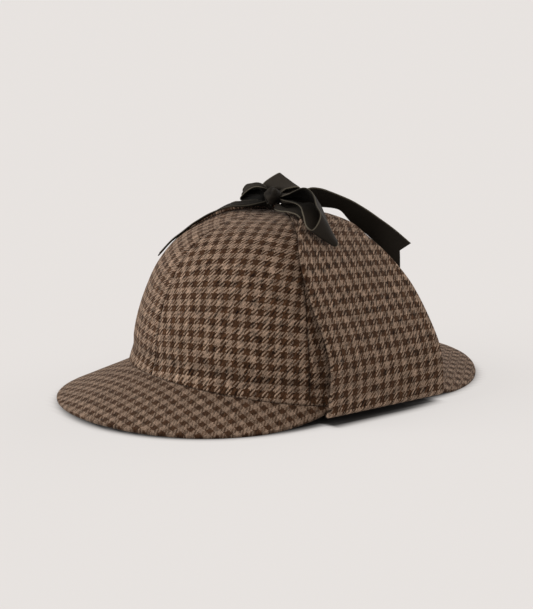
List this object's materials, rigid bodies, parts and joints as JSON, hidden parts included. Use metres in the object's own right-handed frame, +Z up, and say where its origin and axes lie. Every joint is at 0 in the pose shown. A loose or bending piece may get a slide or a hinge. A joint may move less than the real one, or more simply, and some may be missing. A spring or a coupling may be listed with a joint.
{
  "type": "deerstalker hat",
  "caption": "Checked wool hat with a domed panelled crown, a peak at front and back, and ear flaps turned up and tied over the top with a tape bow.",
  "frame": {"origin": "middle of the hat's outline seen from above, on the floor it stands on", "axes": "-Y is the wearer's front, where the larger peak is, +X is the wearer's left, +Z is up"},
  "size_m": [0.1926, 0.2754, 0.1255],
  "materials": {
    "wool": "napped wool in a dark brown and taupe shepherd's check",
    "tape": "matt woven black-olive tape"
  },
  "bodies": {
    "root": {"crown_panel_1": "wool", "crown_panel_2": "wool", "crown_panel_3": "wool", "crown_panel_4": "wool", "crown_panel_5": "wool", "crown_panel_6": "wool", "front_peak": "wool", "back_peak": "wool", "ear_flap_left": "wool", "ear_flap_right": "wool", "tie_strap_left": "tape", "tie_strap_right": "tape", "bow_knot": "tape", "bow_loop_left": "tape", "bow_loop_right": "tape", "bow_loop_back": "tape", "bow_tail_front": "tape", "bow_tail_back": "tape"}
  },
  "joints": []
}
